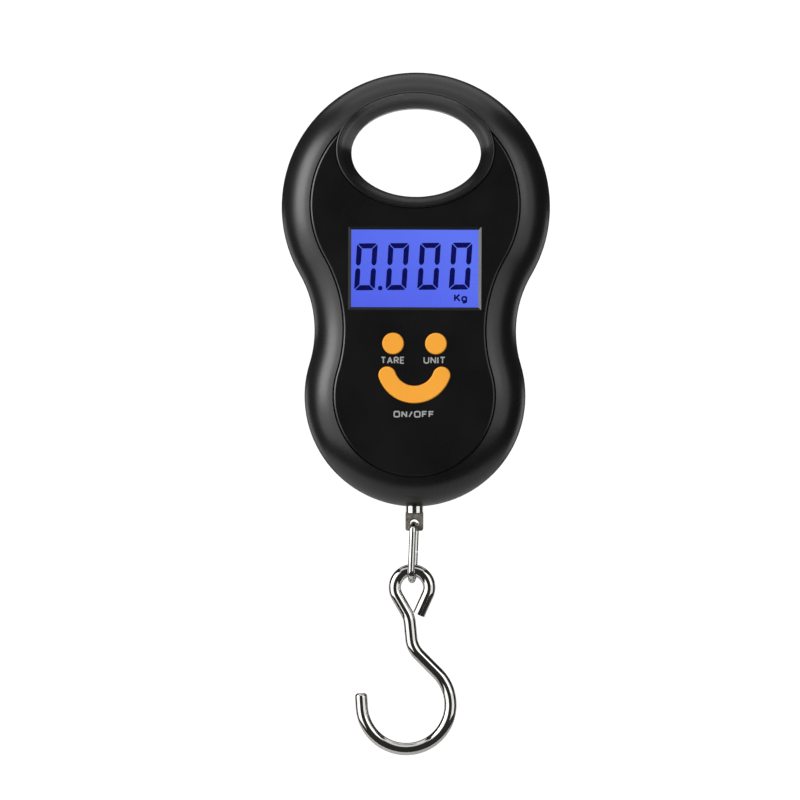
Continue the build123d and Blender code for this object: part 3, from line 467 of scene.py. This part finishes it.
def striped(name, first, second, axis, pitch, roughness):
    """Two colours in fine even stripes across one axis."""
    material, tree, shader, where = new_material(name)
    turns = maths(tree, "MULTIPLY", part_of(tree, where, axis), 2.0 * math.pi / pitch)
    bands = remap(tree, maths(tree, "SINE", turns), -0.3, 0.3)
    tree.links.new(blend(tree, bands, first, second), shader.inputs["Base Color"])
    specks = noise(tree, where, STRIPE_SPECK_SIZE)
    rough = spread(tree, specks, roughness - STRIPE_SHEEN_VARIATION, roughness + STRIPE_SHEEN_VARIATION)
    tree.links.new(rough, shader.inputs["Roughness"])
    tree.links.new(bump(tree, bands, STRIPE_RELIEF), shader.inputs["Normal"])
    return material


def cell_wrap(name, low, high):
    """A battery's printed sleeve between these heights, with steel showing past both ends."""
    material, tree, shader, where = new_material(name)
    away = distance_from(tree, part_of(tree, where, "Z"), (low + high) / 2)
    half = (high - low) / 2
    steel = remap(tree, away, half - SLEEVE_BLUR, half)
    band = remap(tree, away, half - SLEEVE_BAND - SLEEVE_BLUR, half - SLEEVE_BAND)
    rubs = noise(tree, where, SLEEVE_SCUFF_SIZE, detail=5.0)
    scuffs = remap(tree, rubs, 0.58, 0.75, 0.0, SLEEVE_SCUFF_AMOUNT)
    worn = blend(tree, scuffs, blend(tree, band, SLEEVE_BLUE, SLEEVE_SILVER), SLEEVE_SCUFF)
    tree.links.new(blend(tree, steel, worn, CELL_STEEL), shader.inputs["Base Color"])
    tree.links.new(steel, shader.inputs["Metallic"])
    tree.links.new(remap(tree, scuffs, 0.0, SLEEVE_SCUFF_AMOUNT, 0.2, 0.4), shader.inputs["Roughness"])
    tree.links.new(bump(tree, scuffs, SLEEVE_SCUFF_DEPTH), shader.inputs["Normal"])
    return material


def circuit_mask(name):
    """Green solder mask with copper tracks showing under it as a lighter maze."""
    material, tree, shader, where = new_material(name)
    cells = tree.nodes.new("ShaderNodeTexVoronoi")
    cells.distance = "MANHATTAN"
    cells.feature = "DISTANCE_TO_EDGE"
    cells.inputs["Scale"].default_value = 1.0 / TRACK_PITCH
    tree.links.new(where, cells.inputs["Vector"])
    tracks = remap(tree, cells.outputs["Distance"], 0.06, 0.10, 1.0, 0.0)
    tree.links.new(blend(tree, tracks, MASK_GREEN, TRACK_GREEN), shader.inputs["Base Color"])
    clouds = noise(tree, where, MASK_CLOUD_SIZE)
    tree.links.new(spread(tree, clouds, 0.22, 0.36), shader.inputs["Roughness"])
    tree.links.new(bump(tree, tracks, TRACK_RELIEF), shader.inputs["Normal"])
    return material


def ink(name, colour, glow=0.0):
    """A thin layer of print, a little uneven in tone, which may be lit from behind."""
    material, tree, shader, where = new_material(name)
    specks = patchy(tree, noise(tree, where, INK_SPECK_SIZE))
    tone = blend(tree, specks, scaled(colour, 0.9), scaled(colour, 1.1))
    tree.links.new(tone, shader.inputs["Base Color"])
    tree.links.new(remap(tree, specks, 0.0, 1.0, 0.45, 0.6), shader.inputs["Roughness"])
    tree.links.new(bump(tree, specks, INK_RELIEF), shader.inputs["Normal"])
    if glow > 0.0:
        shader.inputs["Specular IOR Level"].default_value = 0.05
        tree.links.new(tone, shader.inputs["Emission Color"])
        shader.inputs["Emission Strength"].default_value = glow
    return material


def paper(name):
    """Pale backdrop paper with faint fibres."""
    material, tree, shader, where = new_material(name)
    fibres = noise(tree, where, PAPER_FIBRE_SIZE, detail=4.0)
    tree.links.new(blend(tree, fibres, PAPER_DARK, PAPER_LIGHT), shader.inputs["Base Color"])
    tree.links.new(spread(tree, fibres, 0.8, 0.9), shader.inputs["Roughness"])
    tree.links.new(bump(tree, fibres, PAPER_RELIEF), shader.inputs["Normal"])
    return material


def paint(material, *names):
    """Gives a material to these CAD nodes."""
    for name in names:
        node = nodes[name]
        node.data.materials.clear()
        node.data.materials.append(material)


# ---------------------------------------------------------------- thin printed shapes


def mesh_piece(name, mesh, material):
    """Turns finished mesh data into a piece that rides on the case."""
    bmesh.ops.recalc_face_normals(mesh, faces=mesh.faces)
    data = bpy.data.meshes.new(name)
    mesh.to_mesh(data)
    mesh.free()
    data.materials.append(material)
    piece = bpy.data.objects.new(name, data)
    bpy.context.scene.collection.objects.link(piece)
    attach(piece, "case")


def add_prism(mesh, outline, front, back):
    """A flat polygon in X and Z, given thickness between two depths."""
    rings = [[mesh.verts.new((x, depth, z)) for x, z in outline] for depth in (front, back)]
    mesh.faces.new(rings[0])
    mesh.faces.new(rings[1][::-1])
    for i in range(len(outline)):
        j = (i + 1) % len(outline)
        mesh.faces.new((rings[0][i], rings[0][j], rings[1][j], rings[1][i]))


def add_stroke(mesh, points, weight, front, back, closed=False):
    """A pen stroke along points in X and Z, mitred where it bends."""
    count = len(points)
    rings = []
    for i, point in enumerate(points):
        ways = []
        if closed or i > 0:
            ways.append((point - points[i - 1]).normalized())
        if closed or i < count - 1:
            ways.append((points[(i + 1) % count] - point).normalized())
        way = sum(ways, Vector((0.0, 0.0))).normalized()
        side = Vector((-way.y, way.x)) * (weight / 2 / max(0.5, way.dot(ways[0])))
        corners = ((point + side, front), (point - side, front), (point - side, back), (point + side, back))
        rings.append([mesh.verts.new((place.x, depth, place.y)) for place, depth in corners])
    for i in range(count if closed else count - 1):
        here, there = rings[i], rings[(i + 1) % count]
        for j in range(4):
            k = (j + 1) % 4
            mesh.faces.new((here[j], here[k], there[k], there[j]))
    if not closed:
        mesh.faces.new(rings[0])
        mesh.faces.new(rings[-1][::-1])


def arc(x, z, radius_x, radius_z, start, end, steps=6):
    """Points along part of an ellipse, with angles in degrees."""
    angles = [math.radians(start + (end - start) * step / steps) for step in range(steps + 1)]
    return [(x + radius_x * math.cos(angle), z + radius_z * math.sin(angle)) for angle in angles]


def rounded_box(low_x, high_x, low_z, high_z, radius):
    """A closed loop with round corners."""
    return (
        arc(high_x - radius, high_z - radius, radius, radius, 0, 90)
        + arc(low_x + radius, high_z - radius, radius, radius, 90, 180)
        + arc(low_x + radius, low_z + radius, radius, radius, 180, 270)
        + arc(high_x - radius, low_z + radius, radius, radius, 270, 360)
    )


def pen(*points):
    """An open stroke of a letter."""
    return (list(points), False)


def loop(points):
    """A closed stroke of a letter."""
    return (points, True)


# Each letter is its width and its strokes, in units of the capital height.
LETTERS = {
    "T": (0.62, [pen((0.0, 1.0), (0.62, 1.0)), pen((0.31, 1.0), (0.31, 0.0))]),
    "A": (
        0.72,
        [
            pen((0.0, 0.0), (0.36, 1.0)),
            pen((0.36, 1.0), (0.72, 0.0)),
            pen((0.14, 0.34), (0.58, 0.34)),
        ],
    ),
    "R": (
        0.62,
        [
            pen((0.0, 0.0), (0.0, 1.0)),
            pen((0.0, 1.0), *arc(0.36, 0.74, 0.24, 0.26, 90, -90), (0.0, 0.48)),
            pen((0.30, 0.48), (0.62, 0.0)),
        ],
    ),
    "E": (0.52, [pen((0.52, 0.0), (0.0, 0.0), (0.0, 1.0), (0.52, 1.0)), pen((0.0, 0.51), (0.46, 0.51))]),
    "U": (0.62, [pen((0.0, 1.0), *arc(0.31, 0.30, 0.31, 0.30, 180, 360, 10), (0.62, 1.0))]),
    "N": (0.62, [pen((0.0, 0.0), (0.0, 1.0)), pen((0.0, 1.0), (0.62, 0.0)), pen((0.62, 0.0), (0.62, 1.0))]),
    "I": (0.0, [pen((0.0, 0.0), (0.0, 1.0))]),
    "O": (0.72, [loop(rounded_box(0.0, 0.72, 0.0, 1.0, 0.22))]),
    "F": (0.56, [pen((0.0, 0.0), (0.0, 1.0), (0.56, 1.0)), pen((0.0, 0.52), (0.48, 0.52))]),
    "/": (0.40, [pen((0.0, 0.0), (0.40, 1.0))]),
    "K": (0.56, [pen((0.0, 0.0), (0.0, 1.0)), pen((0.0, 0.36), (0.54, 1.0)), pen((0.18, 0.56), (0.56, 0.0))]),
    "g": (
        0.46,
        [
            loop(rounded_box(0.0, 0.46, 0.0, 0.64, 0.18)),
            pen((0.46, 0.70), *arc(0.26, -0.06, 0.20, 0.20, 0, -90), (0.04, -0.26)),
        ],
    ),
}

LETTER_GAP = 0.15
STROKE_STEP = 0.001 * MM
DISPLAY_PRINT = (-9.52 * MM, -9.5 * MM)
PANEL_PRINT = (-12.515 * MM, -12.5 * MM)

DIGIT_COUNT = 4
DIGIT_WIDTH = 5.9 * MM
DIGIT_HEIGHT = 13.35 * MM
DIGIT_PITCH = 8.97 * MM
DIGIT_LEFT = -17.3 * MM
DIGIT_BASE = -52.6 * MM
DIGIT_LEAN = 0.062
DIGIT_CLIMB = 0.011
SEGMENT_STROKE = 1.46 * MM
SEGMENT_CORNER = 0.6 * MM
SEGMENT_SEAM = 0.24 * MM
SEGMENT_WAIST = 0.85 * MM
POINT_X = -9.84 * MM
POINT_RISE = 0.68 * MM
POINT_RADIUS = 0.66 * MM
POINT_SIDES = 24


def lettering(
    name, text, material, slot_name, centre_x, base_z, height, width, weight, depths, space=LETTER_GAP
):
    """A printed word, its capitals this high and its whole width this wide."""
    front, back = depths
    gap = space + weight / height
    natural = sum(LETTERS[letter][0] for letter in text) + gap * (len(text) - 1)
    across = (width - weight) / natural
    up = height - weight
    mesh = bmesh.new()
    start = centre_x - (width - weight) / 2
    for letter in text:
        letter_width, strokes = LETTERS[letter]
        for order, (points, closed) in enumerate(strokes):
            placed = [Vector((start + x * across, base_z + weight / 2 + z * up)) for x, z in points]
            add_stroke(mesh, placed, weight, front - order * STROKE_STEP, back, closed)
        start += (letter_width + gap) * across
    mesh_piece(name, mesh, material)


def zero_segments(width, height, stroke, corner, seam, waist):
    """The six lit segments of a seven-segment zero, from its lower left corner."""
    cut = seam / 2 / math.sqrt(2)
    slack = seam / math.sqrt(2)
    top = [
        (corner / 2 + cut, height - corner / 2 + cut),
        (corner, height),
        (width - corner, height),
        (width - corner / 2 - cut, height - corner / 2 + cut),
        (width - stroke - slack, height - stroke),
        (stroke + slack, height - stroke),
    ]
    end = height / 2 + waist / 2
    shoulder = end + stroke * 0.45
    side = [
        (corner / 2 - cut, height - corner / 2 - cut),
        (0.0, height - corner),
        (0.0, shoulder),
        (stroke * 0.28, end),
        (stroke * 0.72, end),
        (stroke, shoulder),
        (stroke, height - stroke - slack),
    ]
    segments = []
    for outline in (top, side):
        segments.append(outline)
        segments.append([(x, height - z) for x, z in outline])
    segments += [[(width - x, z) for x, z in outline] for outline in segments[2:]]
    return segments


def display_marks(material):
    """The reading: four zeros that lean forwards and climb a little, with a point after the first."""
    mesh = bmesh.new()
    outlines = zero_segments(
        DIGIT_WIDTH, DIGIT_HEIGHT, SEGMENT_STROKE, SEGMENT_CORNER, SEGMENT_SEAM, SEGMENT_WAIST
    )
    for digit in range(DIGIT_COUNT):
        start = digit * DIGIT_PITCH
        for outline in outlines:
            placed = [
                (DIGIT_LEFT + start + x + z * DIGIT_LEAN, DIGIT_BASE + z + (start + x) * DIGIT_CLIMB)
                for x, z in outline
            ]
            add_prism(mesh, placed, *DISPLAY_PRINT)
    last_angle = 360 - 360 / POINT_SIDES
    point = arc(POINT_X, DIGIT_BASE + POINT_RISE, POINT_RADIUS, POINT_RADIUS, 0, last_angle, POINT_SIDES - 1)
    add_prism(mesh, point, *DISPLAY_PRINT)
    mesh_piece("display_digits", mesh, material)


# ---------------------------------------------------------------- studio

make_camera()
make_world()
bpy.context.scene.view_settings.view_transform = "Standard"
bpy.context.scene.view_settings.exposure = EXPOSURE

for lamp_settings in LAMPS:
    softbox(*lamp_settings)

# ---------------------------------------------------------------- finishes

# Plastics and rubbers: name, colour, roughness, other settings, and the nodes they cover.
PLASTICS = (
    (
        "case_plastic",
        (0.007, 0.007, 0.0073),
        0.30,
        {"grain": 0.22 * MM, "depth": 0.004 * MM, "wear": 0.3},
        ("front_shell", "rear_shell", "battery_door"),
    ),
    (
        "orange_plastic",
        (1.0, 0.413, 0.036),
        0.5,
        # glow here is painted light: an emission that brightens the orange buttons, which are not lit from
        # within.
        {"wear": 0.35, "mottle": 0.02, "glow": 0.11},
        ("tare_button", "unit_button", "power_button"),
    ),
    (
        "stem_plastic",
        (0.02, 0.02, 0.02),
        0.45,
        {},
        ("tare_switch_stem", "unit_switch_stem", "power_switch_stem"),
    ),
    ("holder_plastic", (0.55, 0.55, 0.52), 0.5, {}, ("lcd_holder",)),
    ("light_guide", (0.75, 0.8, 0.95), 0.3, {}, ("light_guide",)),
    ("led", (0.85, 0.8, 0.45), 0.35, {}, ("backlight_leds",)),
    ("chip", (0.02, 0.02, 0.02), 0.5, {}, ("controller_chip", "amplifier_chip", "resistors")),
    ("capacitor", (0.5, 0.36, 0.22), 0.4, {}, ("capacitors",)),
    ("red_insulation", (0.5, 0.02, 0.015), 0.4, {}, ("battery_leads",)),
    ("white_insulation", (0.75, 0.75, 0.72), 0.4, {}, ("load_cell_leads",)),
    (
        "white_silicone",
        (0.8, 0.8, 0.77),
        0.3,
        {"grain": 0.8 * MM, "depth": 0.05 * MM},
        ("gauge_coating",),
    ),
)
for slot_name, colour, roughness, settings, names in PLASTICS:
    paint(moulded(slot_name, colour, roughness, **settings), *names)

# Metals: name, colour, roughness, the way the hair scratches run, and the nodes they cover.
METALS = (
    ("hook_chrome", (0.66, 0.645, 0.62), 0.05, ALONG_Z, ("hook",)),
    ("link_chrome", (0.66, 0.65, 0.62), 0.08, ALONG_Z, ("ring_link",)),
    ("screw_steel", (0.62, 0.62, 0.6), 0.3, ALONG_Z, ("board_screws", "hanger_washer", "hanger_nut")),
    ("dark_screw", (0.07, 0.07, 0.07), 0.35, ALONG_Z, ("case_screws", "load_cell_screws")),
    ("crystal_can", (0.75, 0.75, 0.76), 0.25, ALONG_Z, ("crystal",)),
    ("switch_metal", (0.62, 0.62, 0.62), 0.35, ALONG_Z, ("switch_bodies",)),
    ("contact_steel", (0.72, 0.71, 0.68), 0.22, ALONG_Z, ("contact_springs", "contact_plates")),
    ("beam_aluminium", (0.76, 0.77, 0.78), 0.35, ALONG_X, ("load_cell",)),
)
for slot_name, colour, roughness, along, names in METALS:
    paint(polished(slot_name, colour, roughness, along), *names)

paint(hanger_metal("hanger_steel", BLOCK_TOP), "hanger_rod")

# Striped pieces: name, the two colours, the axis and pitch of the stripes, roughness, and the node.
STRIPED = (
    ("elastomer", (0.03, 0.03, 0.03), (0.55, 0.42, 0.42), "X", 0.18 * MM, 0.5, "zebra_strip"),
    ("gauge_film", (0.7, 0.42, 0.08), (0.35, 0.22, 0.1), "Y", 0.3 * MM, 0.3, "strain_gauges"),
)
for *settings, name in STRIPED:
    paint(striped(*settings), name)

paint(circuit_mask("board"), "circuit_board")
paint(cell_wrap("cell_sleeve", SLEEVE_LOW, SLEEVE_HIGH), "left_aaa_cell", "right_aaa_cell")
paint(clear_plastic("lens"), "display_lens")

glass_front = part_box("lcd_glass")[0].y
paint(display_glass("lcd_glass", DISPLAY_CENTRE, LIT_HALF_WIDTH, LIT_HALF_HEIGHT, glass_front), "lcd_glass")
paint(face_plastic("panel_plastic", DISPLAY_CENTRE, BEVEL_HALF_WIDTH, BEVEL_HALF_HEIGHT), "face_panel")

# ---------------------------------------------------------------- printed marks

INK_BLUE = (0.0008, 0.0016, 0.062)
INK_GREY = (0.42, 0.43, 0.43)

digit_ink = ink("display_ink", INK_BLUE, glow=1.0)
label_ink = ink("label_ink", INK_GREY)
display_marks(digit_ink)
lettering(
    "display_unit",
    "Kg",
    digit_ink,
    "lcd_glass",
    centre_x=13.0 * MM,
    base_z=-55.75 * MM,
    height=2.3 * MM,
    width=3.75 * MM,
    weight=0.5 * MM,
    depths=DISPLAY_PRINT,
    space=0.07,
)

# Each label: piece name, text, centre x, base z, capital height, width and stroke weight in millimetres.
LABELS = (
    ("tare_label", "TARE", -6.15, -73.45, 2.0, 6.75, 0.36),
    ("unit_label", "UNIT", 5.7, -73.4, 2.0, 6.2, 0.36),
    ("power_label", "ON/OFF", -0.1, -88.65, 1.88, 11.5, 0.40),
)
for name, text, *sizes in LABELS:
    lettering(name, text, label_ink, "panel_plastic", *(size * MM for size in sizes), PANEL_PRINT)

# ---------------------------------------------------------------- floor


def make_floor(height, depth, radius):
    """A round pale floor well below the hook, reaching back from just in front of the scale."""
    mesh = bmesh.new()
    bmesh.ops.create_circle(mesh, cap_ends=True, segments=FLOOR_SIDES, radius=radius)
    data = bpy.data.meshes.new("floor")
    mesh.to_mesh(data)
    mesh.free()
    data.materials.append(paper("floor_paper"))
    floor = bpy.data.objects.new("floor", data)
    floor.location = (0.0, depth, height)
    bpy.context.scene.collection.objects.link(floor)


make_floor(FLOOR_HEIGHT, FLOOR_DEPTH, FLOOR_RADIUS)
